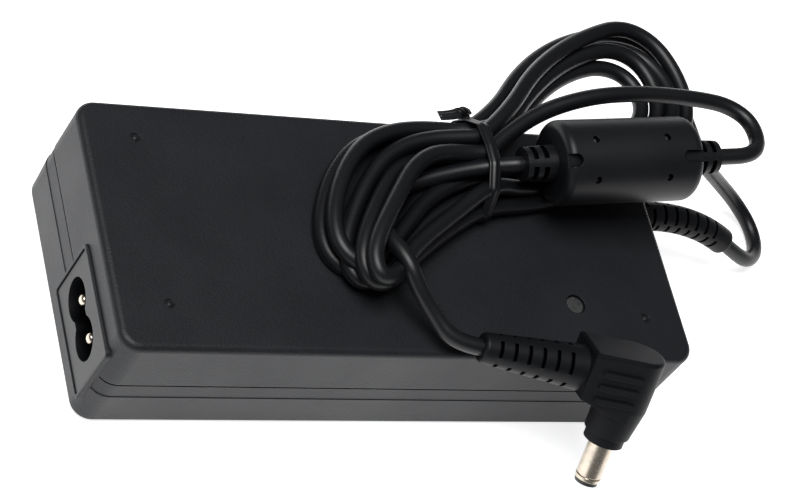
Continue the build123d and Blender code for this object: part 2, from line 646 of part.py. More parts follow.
def make_power_stage():
    box_piece("primary_heatsink", -5.0, 4.6, DECK, 24.0, 1.6, 17.5)
    with BuildPart() as switch:
        with Locations((-9.0, 2.2, DECK + 3.0)):
            Box(10.0, 3.1, 14.0, align=(Align.CENTER, Align.CENTER, Align.MIN))
        with Locations(*[(-9.0 + i * 2.54, 2.2, DECK) for i in (-1, 0, 1)]):
            Box(0.8, 0.8, 3.2, align=(Align.CENTER, Align.CENTER, Align.MIN))
    save(switch, "switching_transistor")
    with BuildPart() as core:
        with Locations((24.0, -2.0, DECK + 9.2)):
            Box(26.0, 11.0, 17.6)
            Box(20.0, 11.2, 11.4, mode=Mode.SUBTRACT)
            Cylinder(4.6, 11.6)
    save(core, "transformer_core")
    with BuildPart() as winding:
        with BuildSketch(Plane.XY.offset(DECK + 9.2 - 5.6)):
            with Locations((24.0, -2.0)):
                Circle(9.8)
                Circle(4.65, mode=Mode.SUBTRACT)
        extrude(amount=11.2)
    save(winding, "transformer_winding")
    box_piece("y_capacitors", 24.0, 12.5, DECK, 9.0, 3.4, 7.5, 1.2)
    box_piece("optocoupler", 24.0, -20.0, DECK, 4.6, 6.5, 3.4)
    box_piece("control_chip", 10.0, -22.0, DECK, 5.0, 4.0, 1.6)


def make_output_stage():
    box_piece("secondary_heatsink", 41.0, 0.0, DECK, 1.6, 24.0, 17.5)
    with BuildPart() as rectifier:
        with Locations((43.4, 2.0, DECK + 3.0)):
            Box(3.1, 10.0, 14.0, align=(Align.CENTER, Align.CENTER, Align.MIN))
        with Locations(*[(43.4, 2.0 + i * 2.54, DECK) for i in (-1, 0, 1)]):
            Box(0.8, 0.8, 3.2, align=(Align.CENTER, Align.CENTER, Align.MIN))
    save(rectifier, "output_rectifier")
    with BuildPart() as cans:
        with BuildSketch(Plane.XY.offset(DECK)):
            with Locations((51.5, -8.5), (51.5, 2.5)):
                Circle(5.0)
        extrude(amount=17.0)
        fillet(cans.edges().group_by(Axis.Z)[-1], 0.8)
    save(cans, "output_capacitors")
    with BuildPart() as coil:
        with BuildSketch(Plane(origin=(44.0, 17.5, DECK + 5.6), z_dir=(1, 0, 0))):
            Circle(5.3)
            Circle(2.2, mode=Mode.SUBTRACT)
        extrude(amount=5.0)
    save(coil, "output_choke")
    box_piece("status_led", LED_X, LED_Y, DECK, 3.0, 3.0, 1.8)


def wire_run(points, radius):
    """One insulated wire along a short route."""
    with BuildPart() as lead:
        with BuildLine() as route:
            rounded_run(points)
        path = route.wires()[0]
        with BuildSketch(Plane(path @ 0, z_dir=path % 0)):
            Circle(radius)
        sweep(path=path)
    return lead.part


def make_wiring(relief_inner_x):
    """Two insulated wires from the inlet's pins and two from the strain relief to the board."""
    pin_x = -HALF_L - RIM_PROUD + PLATE_INSET + INLET_BODY_DEPTH + PIN_TAIL + 0.4
    mains_runs, output_runs = [], []
    for side in (-1, 1):
        y = INLET_Y + side * PIN_SPACING / 2
        mains_runs.append(wire_run([(pin_x, y, INLET_Z), (pin_x + 2.4, y, INLET_Z - 1.2),
                                    (pin_x + 3.4, y, DECK + 3.4), (pin_x + 3.5, y, DECK + 0.1)], 0.8))
        y = RELIEF_Y + side * 0.95
        x = relief_inner_x
        output_runs.append(wire_run([(x, y, RELIEF_Z), (x - 2.4, y, RELIEF_Z - 1.2),
                                     (x - 3.8, y, DECK + 4.2), (x - 3.9, y, DECK + 0.1)], 0.8))
    for name, runs in (("mains_leads", mains_runs), ("output_leads", output_runs)):
        with BuildPart() as pair:
            add(runs)
        save(pair, name)


def make_shielding():
    with BuildPart() as sheet:
        with BuildSketch(Plane.XY.offset(25.2)):
            with Locations((5.0, 0)):
                RectangleRounded(98, 46, 1.5)
            with Locations((LED_X, LED_Y)):
                Circle(4.0, mode=Mode.SUBTRACT)
        extrude(amount=0.4)
    save(sheet, "insulating_sheet")
    with BuildPart() as spreader:
        with BuildSketch(Plane.XY.offset(25.7)):
            with Locations((5.0, 0)):
                RectangleRounded(98, 48.2, 1.5)
            with Locations((LED_X, LED_Y)):
                Circle(4.0, mode=Mode.SUBTRACT)
        extrude(amount=0.8)
        with BuildSketch(Plane.XY.offset(12.8)):
            with Locations((5.0, 24.5 - 0.8), (5.0, -24.5 + 0.8)):
                Rectangle(92, 0.8)
        extrude(amount=13.2)
    save(spreader, "heat_spreader")


def make_cord(relief_end, nose_left, along):
    """The four stretches of the lead that aren't wound."""
    total = cord_tube([relief_end] + LEAD_IN, "cord_lead_in")
    total += cord_tube(FERRITE_TURN + [FERRITE_RIGHT + along * FERRITE_ENTRY, nose_left - along * 1.6],
                       "cord_through_ferrite")
    relief_start = ELBOW - PLUG_U * (BODY_BACK + PLUG_RELIEF_LENGTH)
    before = relief_start - PLUG_U * 6.0
    total += cord_tube(PLUG_LEAD + [before, relief_start], "cord_to_plug")
    print(f"cord outside the hank: {total:.0f} mm")


def main():
    os.makedirs("parts", exist_ok=True)
    make_shells()
    make_inlet()
    relief_end = make_case_relief()
    nose_left, along = make_ferrite()
    make_tie()
    make_hank()
    make_plug()
    make_board()
    make_input_stage()
    make_power_stage()
    make_output_stage()
    make_wiring(HALF_L - WALL - 2.5)
    make_shielding()
    make_cord(relief_end, nose_left, along)


main()
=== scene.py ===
import json
from math import cos, pi, radians, sin

import bpy
import numpy as np
from mathutils import Matrix, Vector


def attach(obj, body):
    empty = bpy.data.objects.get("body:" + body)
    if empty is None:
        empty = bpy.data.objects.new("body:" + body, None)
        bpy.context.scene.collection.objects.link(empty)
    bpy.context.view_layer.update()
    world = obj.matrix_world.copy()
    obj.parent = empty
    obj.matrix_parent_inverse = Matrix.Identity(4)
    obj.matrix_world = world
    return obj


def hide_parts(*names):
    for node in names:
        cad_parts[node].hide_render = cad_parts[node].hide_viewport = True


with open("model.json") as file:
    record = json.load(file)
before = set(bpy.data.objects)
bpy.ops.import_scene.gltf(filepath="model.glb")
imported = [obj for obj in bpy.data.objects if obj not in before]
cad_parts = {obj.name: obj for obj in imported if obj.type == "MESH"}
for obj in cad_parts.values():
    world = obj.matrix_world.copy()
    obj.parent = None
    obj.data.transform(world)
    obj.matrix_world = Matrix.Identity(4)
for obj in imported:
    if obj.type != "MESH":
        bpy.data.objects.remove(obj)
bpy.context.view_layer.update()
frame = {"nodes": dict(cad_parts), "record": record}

# Laptop power adapter: materials for the CAD solids, the wound output lead as one smooth
# cord, and the twist tie round it. Metres, in the CAD model's frame. Points of the lead
# are written in millimetres, as the part's own route is, and scaled by MM.
MM = 0.001
nodes = frame["nodes"]

# ---- the lead's route -------------------------------------------------------------------
CORD_D = 3.6
CASE_TOP = 29.4
CASE_REACH_X, CASE_REACH_Y = 66, 29     # the case's plan, within which strands lie on its top
FRONT_SHARES = ((-3, 0.25), (-2, 0.5), (-1, 0.6))     # of a left turn's front shift, by point
RELIEF_END = (99.4, 14.2, 10.7)
LEAD_IN = [
    (104.4, 13.0, 7.9),
    (110.4, 12.9, 4.6),
    (115.8, 17.4, 2.4),
    (116.6, 24.2, 2.4),
    (112.4, 29.4, 4.9),
    (104.4, 30.8, 10.6),
    (96.0, 30.0, 17.4),
    (89.0, 29.6, 24.2),
    (83.6, 31.8, 30.0),
    (80.8, 37.0, 32.8),
]
# the first strand goes back to the tie behind all the others
FIRST_BACK = [
    (80.2, 44.0, 32.6),
    (76.6, 51.2, 32.0),
    (69.0, 55.6, 31.6),
    (58.0, 53.0, 31.5),
    (48.0, 48.0, 31.6),
    (39.0, 40.6, 31.9),
    (31.4, 31.6, 32.3),
]
# plan outlines of the widest and the narrowest turn on each side, from the tie's back
# round to its front: each turn lies between the two
LEFT_WIDE = [
    (16.0, 24.0), (9.0, 24.0), (1.0, 22.8), (-6.5, 19.4), (-12.3, 13.4), (-16.6, 5.8),
    (-18.8, -1.6), (-18.0, -7.4), (-13.6, -11.0), (-7.6, -9.0), (-1.4, -4.0), (7.4, 5.0),
]
LEFT_NARROW = [
    (16.5, 15.0), (11.0, 14.8), (6.0, 13.4), (1.2, 9.8), (-3.0, 4.4), (-7.4, -1.6),
    (-11.4, -7.4), (-13.6, -12.4), (-12.4, -16.6), (-7.6, -14.6), (-1.8, -7.6), (10.0, 0.9),
]
RIGHT_WIDE = [
    (30.4, 27.6), (37.8, 36.4), (47.0, 43.8), (57.0, 49.6), (67.6, 53.8), (75.8, 50.4),
    (79.6, 42.2), (80.2, 33.4), (76.5, 25.4), (69.0, 18.6), (60.0, 14.6), (50.0, 11.6),
    (40.0, 9.2), (31.0, 7.4),
]
RIGHT_NARROW = [
    (31.0, 24.0), (37.8, 31.2), (45.4, 37.8), (53.0, 42.0), (60.6, 44.0), (66.4, 42.6),
    (69.0, 38.4), (68.0, 33.0), (63.6, 28.4), (57.6, 25.6), (51.0, 23.2), (44.0, 20.8),
    (37.0, 18.4), (30.5, 15.6),
]
# each left turn: share of the narrow outline, how far its front strand is moved along -Y,
# and its heights at the tie's back, at its far end and at the tie's front
LEFT_TURNS = [
    (0.00, 8.0, (31.4, 31.4, 31.4)),
    (0.10, 5.0, (34.8, 34.6, 31.6)),
    (0.52, 2.0, (36.0, 33.0, 31.6)),
    (0.80, -4.2, (32.0, 36.2, 33.0)),
    (1.00, 0.0, (38.0, 38.6, 35.4)),
]
RIGHT_TURNS = [
    (0.86, (33.0, 32.5, 31.4)),
    (0.55, (35.6, 34.6, 31.4)),
    (0.00, (36.4, 35.0, 31.4)),
    (0.33, (32.4, 35.4, 32.2)),
]
# where each pass goes through the tie: (y, z)
TIE_X = 20.8
BACK_SLOTS = [(24.0, 32.5), (22.6, 36.0), (19.3, 36.3), (20.3, 32.5), (14.9, 38.6)]
FRONT_SLOTS = [(16.6, 32.5), (13.0, 32.5), (9.4, 32.5), (5.8, 32.6), (8.6, 35.8)]
FERRITE_LEFT = Vector((33.3, 11.2, 42.3))
FERRITE_RIGHT = Vector((65.9, 12.1, 46.3))
FERRITE_ENTRY = 16.3         # the turn comes onto the ferrite's axis this far to its right
RIGHT_STRAIGHT = 8.0         # the cord is on the axis this far to its right too
FERRITE_NOSE = 6.8           # the short strain relief at its left end
STRAIGHT = 1.6               # the cord goes straight on this far past it
FERRITE_TURN = [
    (25.0, 18.6, 39.6),
    (34.6, 24.4, 42.0),
    (46.0, 27.2, 45.0),
    (57.4, 28.2, 46.3),
    (67.6, 28.3, 46.4),
    (76.0, 28.0, 46.3),
    (82.0, 26.9, 46.4),
    (86.4, 23.2, 46.7),
    (86.4, 16.8, 47.2),
]
PLUG_SIDE = [
    (20.8, 12.0, 38.4),
    (13.6, 11.6, 36.0),
    (5.0, 10.2, 34.0),
    (-2.4, 7.6, 33.2),
    (-6.0, 1.6, 33.6),
    (-8.6, -4.4, 37.6),
]
PLUG_LEAD = [
    (-6.3, -12.8, 39.9),
    (-3.5, -18.0, 37.5),
    (0.5, -22.7, 34.8),
]
ELBOW = Vector((43.1, -35.2, 34.2))
PLUG_U = Vector((0.980, -0.197, 0.020)).normalized()
PLUG_RELIEF_REACH = 33.9     # from the elbow's middle back to the plug's strain relief's end
PLUG_STRAIGHT = 6.0          # the cord comes straight into it over this length
FERRITE_POINTS, PLUG_END_POINTS = 4, 2     # the route's points on these two axes
# how strands that meet are moved apart
NEIGHBOURS = 13              # points this close along the cord are the same strand
PUSH = (0.18, 0.18, 0.7)     # share of the gap made up along X, Y and Z in a round
ROUND_SHARE = 0.6            # share of each push that a round applies
PLAN_HOLD = 0.97             # share of the sideways move that lasts from round to round
SMOOTHING = 0.25


def between(wide, narrow, share):
    """A turn's plan outline, between the widest and the narrowest."""
    return [(a[0] + (b[0] - a[0]) * share, a[1] + (b[1] - a[1]) * share)
            for a, b in zip(wide, narrow)]


def with_heights(plan, heights):
    """Heights that run evenly from the tie's back to the far end and on to the front."""
    back, end, front = heights
    turn, last = [], len(plan) - 1
    for i, (x, y) in enumerate(plan):
        u = 2 * i / last
        z = back + (end - back) * u if u < 1 else end + (front - end) * (u - 1)
        turn.append((x, y, z))
    return turn


def left_turn(k):
    share, front_shift, heights = LEFT_TURNS[k]
    turn = with_heights(between(LEFT_WIDE, LEFT_NARROW, share), heights)
    for i, part in FRONT_SHARES:
        x, y, z = turn[i]
        turn[i] = (x, y + front_shift * part, z)
    return turn


def right_turn(k):
    share, heights = RIGHT_TURNS[k]
    return with_heights(between(RIGHT_WIDE, RIGHT_NARROW, share), heights)


def at_tie(slot):
    return (TIE_X, slot[0], slot[1])


def lead_route():
    """The whole lead from the case to the plug: the way in, ten passes through the tie in
    wound turns, the turn back through the ferrite and the way out to the plug."""
    route = [RELIEF_END] + LEAD_IN + FIRST_BACK
    for k in range(5):
        turn = left_turn(k)
        route.append(at_tie(BACK_SLOTS[k] if k == 0 else FRONT_SLOTS[k]))
        route += turn if k == 0 else turn[::-1]
        route.append(at_tie(FRONT_SLOTS[k] if k == 0 else BACK_SLOTS[k]))
        if k < 4:
            route += right_turn(k)
    along = (FERRITE_RIGHT - FERRITE_LEFT).normalized()
    route += FERRITE_TURN
    route += [FERRITE_RIGHT + along * FERRITE_ENTRY, FERRITE_RIGHT + along * RIGHT_STRAIGHT,
              FERRITE_LEFT - along * FERRITE_NOSE,
              FERRITE_LEFT - along * (FERRITE_NOSE + STRAIGHT)]
    plug_end = ELBOW - PLUG_U * PLUG_RELIEF_REACH
    route += PLUG_SIDE + PLUG_LEAD + [plug_end - PLUG_U * PLUG_STRAIGHT, plug_end]
    return np.array([tuple(p) for p in route])


def spline_weights(count, per=4):
    """How much of each control point is in each point along a quadratic spline."""
    rows = []
    for i in range(1, count - 1):
        start, end = np.zeros(count), np.zeros(count)
        start[[0] if i == 1 else [i - 1, i]] = 1.0 if i == 1 else 0.5
        end[[-1] if i == count - 2 else [i, i + 1]] = 1.0 if i == count - 2 else 0.5
        for t in np.arange(per) / per:
            row = (1 - t) ** 2 * start + t * t * end
            row[i] += 2 * t * (1 - t)
            rows.append(row)
    return np.array(rows)


def held_points(points):
    """The points that stay: the way in, those on the ferrite's axis and the plug's end."""
    first, count = len(LEAD_IN), len(points)
    ferrite = count - len(PLUG_SIDE) - len(PLUG_LEAD) - FERRITE_POINTS - PLUG_END_POINTS
    index = np.arange(count)
    on_ferrite = (index >= ferrite - 1) & (index < ferrite + FERRITE_POINTS)
    return (index <= first) | on_ferrite | (index > count - 5)


def eased_apart(points, fixed, rounds=70):
    """Moves the wound strands, mostly up or down, until no two share the same space and
    none lies in the case: a later strand goes over an earlier one that it meets."""
    weights = spline_weights(len(points))
    held = weights.sum(0)[:, None] + 1e-9
    order = np.arange(len(weights))
    apart = np.abs(order[:, None] - order[None]) > NEIGHBOURS
    later = np.sign(order[:, None] - order[None]) * 0.5
    moved = np.zeros_like(points)
    for _ in range(rounds):
        line = weights @ (points + moved)
        gap = line[:, None] - line[None]
        far = np.linalg.norm(gap, axis=2)
        close = (far < CORD_D) & apart
        gap[..., 2] += np.where(close & (far < 0.5 * CORD_D), later, 0)
        push = np.where(close, (CORD_D - far) / np.maximum(far, 0.5), 0)[..., None] * gap
        shift = push.sum(1) / np.maximum(close.sum(1), 1)[:, None] * PUSH
        over_case = (line[:, 0] < CASE_REACH_X) & (np.abs(line[:, 1]) < CASE_REACH_Y)
        low = np.where(over_case, CASE_TOP + CORD_D / 2, CORD_D / 2) - line[:, 2]
        shift[:, 2] += np.maximum(low, 0)
        moved += ROUND_SHARE * (weights.T @ shift) / held
        moved[:, :2] *= PLAN_HOLD
        moved[fixed] = 0
        # the move spreads along the cord, so the strands stay smooth
        middle = (moved[:-2] + moved[2:]) / 2
        moved[1:-1] += SMOOTHING * (middle - moved[1:-1])
        moved[fixed] = 0
    return points + moved


# ---- materials --------------------------------------------------------------------------
NOISE_ROUGHNESS = 0.55       # how strong the noise's finer octaves are


class Shader:
    """A material's node tree, with short ways to add and join its nodes."""

    def __init__(self, name):
        self.material = bpy.data.materials.new(name)
        self.material.use_nodes = True
        self.tree = self.material.node_tree
        self.bsdf = self.tree.nodes["Principled BSDF"]
        self.coords = self.add("ShaderNodeTexCoord").outputs["Object"]

    def add(self, kind, **settings):
        node = self.tree.nodes.new(kind)
        for key, value in settings.items():
            setattr(node, key, value)
        return node

    def put(self, socket, value):
        """Joins an output to the socket, or sets the socket's own value."""
        if isinstance(value, bpy.types.NodeSocket):
            self.tree.links.new(value, socket)
        else:
            socket.default_value = value

    def noise(self, size_mm, detail=3.0, vector=None, stretch=None):
        """Noise whose patches are about size_mm across."""
        node = self.add("ShaderNodeTexNoise")
        node.inputs["Scale"].default_value = 1.0 / (size_mm * MM)
        node.inputs["Detail"].default_value = detail
        node.inputs["Roughness"].default_value = NOISE_ROUGHNESS
        place = vector or self.coords
        if stretch:
            mapping = self.add("ShaderNodeMapping")
            mapping.inputs["Scale"].default_value = stretch
            self.put(mapping.inputs["Vector"], place)
            place = mapping.outputs["Vector"]
        self.put(node.inputs["Vector"], place)
        return node.outputs["Fac"]

    def range(self, value, low, high, start=0.3, end=0.7):
        """The value's part between start and end, spread from low to high."""
        node = self.add("ShaderNodeMapRange")
        self.put(node.inputs["Value"], value)
        for key, number in (("From Min", start), ("From Max", end),
                            ("To Min", low), ("To Max", high)):
            node.inputs[key].default_value = number
        return node.outputs["Result"]

    def math(self, operation, a, b=0.0):
        node = self.add("ShaderNodeMath", operation=operation)
        self.put(node.inputs[0], a)
        self.put(node.inputs[1], b)
        return node.outputs[0]

    def mix(self, share, a, b):
        node = self.add("ShaderNodeMix", data_type="RGBA")
        self.put(node.inputs["Factor"], share)
        self.put(node.inputs["A"], a if isinstance(a, bpy.types.NodeSocket) else (*a, 1))
        self.put(node.inputs["B"], b if isinstance(b, bpy.types.NodeSocket) else (*b, 1))
        return node.outputs["Result"]

    def rounded(self, radius_mm):
        """The normal with sharp edges rounded off."""
        node = self.add("ShaderNodeBevel", samples=6)
        node.inputs["Radius"].default_value = radius_mm * MM
        return node.outputs["Normal"]

    def edges(self, normal):
        """Where the rounded normal turns away from the face's own: along sharp edges."""
        own = self.add("ShaderNodeNewGeometry").outputs["Normal"]
        dot = self.add("ShaderNodeVectorMath", operation="DOT_PRODUCT")
        self.put(dot.inputs[0], normal)
        self.put(dot.inputs[1], own)
        return self.range(dot.outputs["Value"], 1.0, 0.0, 0.86, 0.995)

    def painted_shade_mask(self, reach_mm):
        """One on open faces, falling towards nought in slots and recesses: the mask of the
        painted shade there.
        """
        node = self.add("ShaderNodeAmbientOcclusion", samples=6, only_local=True)
        node.inputs["Distance"].default_value = reach_mm * MM
        return self.range(node.outputs["AO"], 0.0, 1.0, 0.25, 0.8)

    def bump(self, height, strength, depth_mm, normal=None):
        node = self.add("ShaderNodeBump")
        node.inputs["Strength"].default_value = strength
        node.inputs["Distance"].default_value = depth_mm * MM
        self.put(node.inputs["Height"], height)
        if normal:
            self.put(node.inputs["Normal"], normal)
        return node.outputs["Normal"]

    def finish(self, colour, rough, normal, **constants):
        self.put(self.bsdf.inputs["Base Color"], colour)
        self.put(self.bsdf.inputs["Roughness"], rough)
        self.put(self.bsdf.inputs["Normal"], normal)
        for key, value in constants.items():
            self.bsdf.inputs[key.replace("_", " ")].default_value = value
        return self.material


def lighter(colour, times):
    return tuple(min(1.0, c * times) for c in colour)


def moulded(name, colour, rough, grain=0.35, bump=0.35, depth=0.03, edge=0.35, radius=0.3,
            scuffs=0.2, painted_shade_reach=0.0, shine=0.5):
    """Moulded plastic or vinyl: a fine grain, uneven tone and gloss, edges worn a little
    lighter and smoother and given a painted highlight, faint scuffs, and painted shade,
    a darker colour and weaker reflection, in slots and recesses as deep as the given reach."""
    s = Shader(name)
    normal = s.rounded(radius)
    fine = s.noise(grain, detail=2.0)
    broad = s.noise(22.0, detail=4.0)
    scuff = s.noise(1.6, detail=2.0, stretch=(1.0, 9.0, 1.0))
    # lighter, smoother sharp edges: partly wear, partly a painted highlight along them
    wear_and_painted_edge_highlight = s.math("MULTIPLY", s.edges(normal), s.range(s.noise(3.0), 0.4, 1.0))
    marks = s.math("MULTIPLY", s.range(scuff, 0.0, scuffs, 0.62, 0.72),
                   s.range(broad, 0.0, 1.0, 0.45, 0.6))
    tone = s.mix(s.range(broad, 0.0, 1.0), lighter(colour, 0.86), lighter(colour, 1.14))
    tone = s.mix(s.range(fine, 0.0, 0.5), tone, lighter(colour, 1.5))
    # the painted edge highlight, with the wear, lightens the colour along sharp edges
    tone = s.mix(s.math("MULTIPLY", wear_and_painted_edge_highlight, edge), tone, lighter(colour, 3.2))
    tone = s.mix(marks, tone, lighter(colour, 2.4))
    gloss = s.range(broad, rough - 0.04, rough + 0.05)
    gloss = s.math("SUBTRACT", gloss, s.math("MULTIPLY", wear_and_painted_edge_highlight, 0.10))
    s.bsdf.inputs["Specular IOR Level"].default_value = shine
    # painted shade: slots and recesses get a darker colour and a weaker reflection
    if painted_shade_reach:
        unshaded = s.painted_shade_mask(painted_shade_reach)
        tone = s.mix(unshaded, lighter(colour, 0.3), tone)
        s.put(s.bsdf.inputs["Specular IOR Level"], s.math("MULTIPLY", unshaded, shine))
    return s.finish(tone, gloss, s.bump(fine, bump, depth, normal))


def along_axis(s, axis):
    """The distance along an axis, as a texture vector that is the same all round it."""
    dot = s.add("ShaderNodeVectorMath", operation="DOT_PRODUCT")
    s.put(dot.inputs[0], s.coords)
    dot.inputs[1].default_value = axis
    joined = s.add("ShaderNodeCombineXYZ")
    s.put(joined.inputs["X"], dot.outputs["Value"])
    return joined.outputs["Vector"]


def plated(name, colour, rough, axis):
    """Plated metal turned on a lathe: fine rings across its axis, and a little tarnish."""
    s = Shader(name)
    normal = s.rounded(0.12)
    rings = s.noise(0.12, detail=2.0, vector=along_axis(s, axis))
    haze = s.noise(2.5, detail=4.0)
    tone = s.mix(s.range(haze, 0.0, 0.6), colour, lighter(colour, 0.72))
    gloss = s.math("ADD", s.range(rings, rough - 0.05, rough + 0.07), s.range(haze, 0.0, 0.08))
    return s.finish(tone, gloss, s.bump(rings, 0.12, 0.01, normal), Metallic=1.0)


def banded(name, colour, dark, pitch, rough, axis):
    """Wound or wrapped layers across an axis: bands with a groove between them."""
    s = Shader(name)
    wave = s.add("ShaderNodeTexWave", wave_type="BANDS", bands_direction="X")
    wave.inputs["Scale"].default_value = 0.31 / (pitch * MM)
    wave.inputs["Distortion"].default_value = 0.6
    s.put(wave.inputs["Vector"], along_axis(s, axis))
    tone = s.mix(s.range(wave.outputs["Fac"], 0.0, 1.0, 0.1, 0.5), dark, colour)
    tone = s.mix(s.range(s.noise(4.0), 0.0, 0.25), tone, dark)
    gloss = s.range(s.noise(1.5), rough - 0.05, rough + 0.08)
    return s.finish(tone, gloss, s.bump(wave.outputs["Fac"], 0.5, 0.1))


def granular(name, colour, rough, grain):
    """Sintered, dipped or cast material: small grains and pits in it."""
    s = Shader(name)
    cells = s.add("ShaderNodeTexVoronoi")
    cells.inputs["Scale"].default_value = 1.0 / (grain * MM)
    s.put(cells.inputs["Vector"], s.coords)
    patches = s.noise(6.0, detail=5.0)
    tone = s.mix(s.range(patches, 0.0, 1.0), lighter(colour, 0.8), lighter(colour, 1.2))
    tone = s.mix(s.range(cells.outputs["Distance"], 0.3, 0.0, 0.0, 0.4), tone,
                 lighter(colour, 0.6))
    gloss = s.range(patches, rough - 0.06, rough + 0.08)
    normal = s.bump(cells.outputs["Distance"], 0.3, 0.05, s.rounded(0.2))
    return s.finish(tone, gloss, normal)


def brushed(name, colour, rough):
    """Bare sheet metal with rolling marks along its length."""
    s = Shader(name)
    lines = s.noise(0.5, detail=3.0, stretch=(0.04, 1.0, 1.0))
    stain = s.noise(12.0, detail=4.0)
    tone = s.mix(s.range(stain, 0.0, 0.5), colour, lighter(colour, 0.75))
    gloss = s.math("ADD", s.range(lines, rough - 0.08, rough + 0.1), s.range(stain, 0.0, 0.1))
    return s.finish(tone, gloss, s.bump(lines, 0.25, 0.02, s.rounded(0.1)), Metallic=1.0)


def lens_plastic():
    """Clouded dark grey plastic of the light's lens."""
    s = Shader("lens")
    cloud = s.noise(0.9, detail=4.0)
    tone = s.mix(s.range(cloud, 0.0, 1.0), (0.022, 0.023, 0.022), (0.045, 0.046, 0.044))
    gloss = s.range(cloud, 0.30, 0.42)
    return s.finish(tone, gloss, s.bump(cloud, 0.15, 0.05, s.rounded(0.4)),
                    Subsurface_Weight=0.15, Subsurface_Scale=0.001)


def board_mask():
    """Green solder mask over a faint pattern of copper."""
    s = Shader("board")
    tracks = s.add("ShaderNodeTexBrick")
    tracks.inputs["Scale"].default_value = 120.0
    tracks.inputs["Mortar Size"].default_value = 0.03
    s.put(tracks.inputs["Vector"], s.coords)
    tone = s.mix(tracks.outputs["Fac"], (0.03, 0.16, 0.07), (0.06, 0.26, 0.12))
    tone = s.mix(s.range(s.noise(8.0), 0.0, 0.3), tone, (0.02, 0.10, 0.05))
    gloss = s.range(s.noise(3.0), 0.28, 0.40)
    return s.finish(tone, gloss, s.bump(tracks.outputs["Fac"], 0.4, 0.05))


def pale_floor():
    """A pale matte floor with a hardly visible grain, lit from within a little so that it
    reads as white."""
    s = Shader("floor")
    grain = s.noise(0.8, detail=3.0)
    tone = s.mix(s.range(grain, 0.0, 1.0), (0.93, 0.93, 0.935), (0.95, 0.95, 0.955))
    s.put(s.bsdf.inputs["Emission Color"], tone)
    return s.finish(tone, s.range(grain, 0.6, 0.7), s.bump(grain, 0.05, 0.02),
                    Emission_Strength=0.8)


PLUG_W = Vector((-0.0888, -0.5277, -0.8448))     # the plug barrel's axis
CASE_BLACK = (0.0078, 0.0084, 0.0100)
VINYL_BLACK = (0.0034, 0.0037, 0.0046)
NICKEL = (0.60, 0.53, 0.44)

# The case, inlet, strain relief and ferrite cover get painted shade in their slots and recesses;
# the moulded materials get a painted highlight, with wear, along their edges.
materials = {
    "case": moulded("case", CASE_BLACK, 0.46, grain=0.45, bump=0.9, depth=0.075, edge=0.4,
                    radius=0.25, scuffs=0.25, shine=0.25, painted_shade_reach=1.0),
    "inlet": moulded("inlet", lighter(CASE_BLACK, 0.7), 0.40, grain=0.3, bump=0.12,
                     edge=0.3, radius=0.2, shine=0.28, painted_shade_reach=14.0),
    "pin_metal": plated("pin_metal", NICKEL, 0.2, (1, 0, 0)),
    "lens": lens_plastic(),
    "cord": moulded("cord", VINYL_BLACK, 0.38, grain=0.5, bump=0.22, depth=0.03, edge=0.0,
                    radius=0.05, scuffs=0.3, shine=0.3),
    "relief": moulded("relief", VINYL_BLACK, 0.46, grain=0.4, bump=0.3, edge=0.25,
                      radius=0.1, shine=0.15, painted_shade_reach=1.6),
    "ferrite_cover": moulded("ferrite_cover", lighter(VINYL_BLACK, 1.15), 0.42, grain=0.5,
                             bump=0.3, edge=0.2, radius=0.12, scuffs=0.35,
                             shine=0.24, painted_shade_reach=1.6),
    "tie": moulded("tie", lighter(VINYL_BLACK, 0.9), 0.34, grain=0.3, bump=0.15, edge=0.2,
                   radius=0.1, shine=0.35),
    "plug_body": moulded("plug_body", VINYL_BLACK, 0.46, grain=0.4, bump=0.35, edge=0.3,
                         radius=0.15, scuffs=0.3, shine=0.13),
    "nickel": plated("nickel", NICKEL, 0.18, PLUG_W),
    "tip": moulded("tip", (0.012, 0.012, 0.012), 0.35, grain=0.3, bump=0.1, edge=0.2,
                   radius=0.15),
    "label": moulded("label", (0.05, 0.05, 0.055), 0.22, grain=0.6, bump=0.08, edge=0.1,
                     radius=0.1),
    "board": board_mask(),
    "ferrite": granular("ferrite", (0.05, 0.05, 0.054), 0.55, 0.4),
    "winding": banded("winding", (0.70, 0.48, 0.08), (0.35, 0.2, 0.03), 1.1, 0.4, (0, 0, 1)),
    "can_sleeve": moulded("can_sleeve", (0.02, 0.02, 0.025), 0.25, grain=0.8, bump=0.1),
    "film_case": granular("film_case", (0.66, 0.46, 0.06), 0.3, 0.8),
    "ceramic_body": granular("ceramic_body", (0.07, 0.20, 0.50), 0.28, 0.5),
    "chip": moulded("chip", (0.02, 0.02, 0.02), 0.5, grain=0.25, bump=0.3),
    "heatsink": brushed("heatsink", (0.75, 0.75, 0.76), 0.32),
    "insulation": moulded("insulation", (0.62, 0.62, 0.58), 0.4, grain=1.0, bump=0.15,
                          edge=0.0, scuffs=0.1),
    "wire": banded("wire", (0.32, 0.03, 0.03), (0.2, 0.015, 0.015), 2.0, 0.35, (0, 0, 1)),
    "led": granular("led", (0.15, 0.55, 0.20), 0.2, 0.6),
}


def give(piece, material):
    piece.data.materials.clear()
    piece.data.materials.append(material)


for part in frame["record"]["subparts"]:
    give(nodes[part["node"]], materials[part["material_slot"]])


# ---- the lead ---------------------------------------------------------------------------
def make_cord():
    points = lead_route()
    points = eased_apart(points, held_points(points))
    data = bpy.data.curves.new("output_cord", "CURVE")
    data.dimensions = "3D"
    data.resolution_u = 8
    data.bevel_depth = CORD_D / 2 * MM
    data.bevel_resolution = 6
    data.use_fill_caps = True
    spline = data.splines.new("NURBS")
    spline.points.add(len(points) - 1)
    for target, point in zip(spline.points, points * MM):
        target.co = (*point, 1.0)
    spline.order_u = 3
    spline.use_endpoint_u = True
    data.materials.append(materials["cord"])
    piece = bpy.data.objects.new("output_cord", data)
    bpy.context.scene.collection.objects.link(piece)
    return piece, points


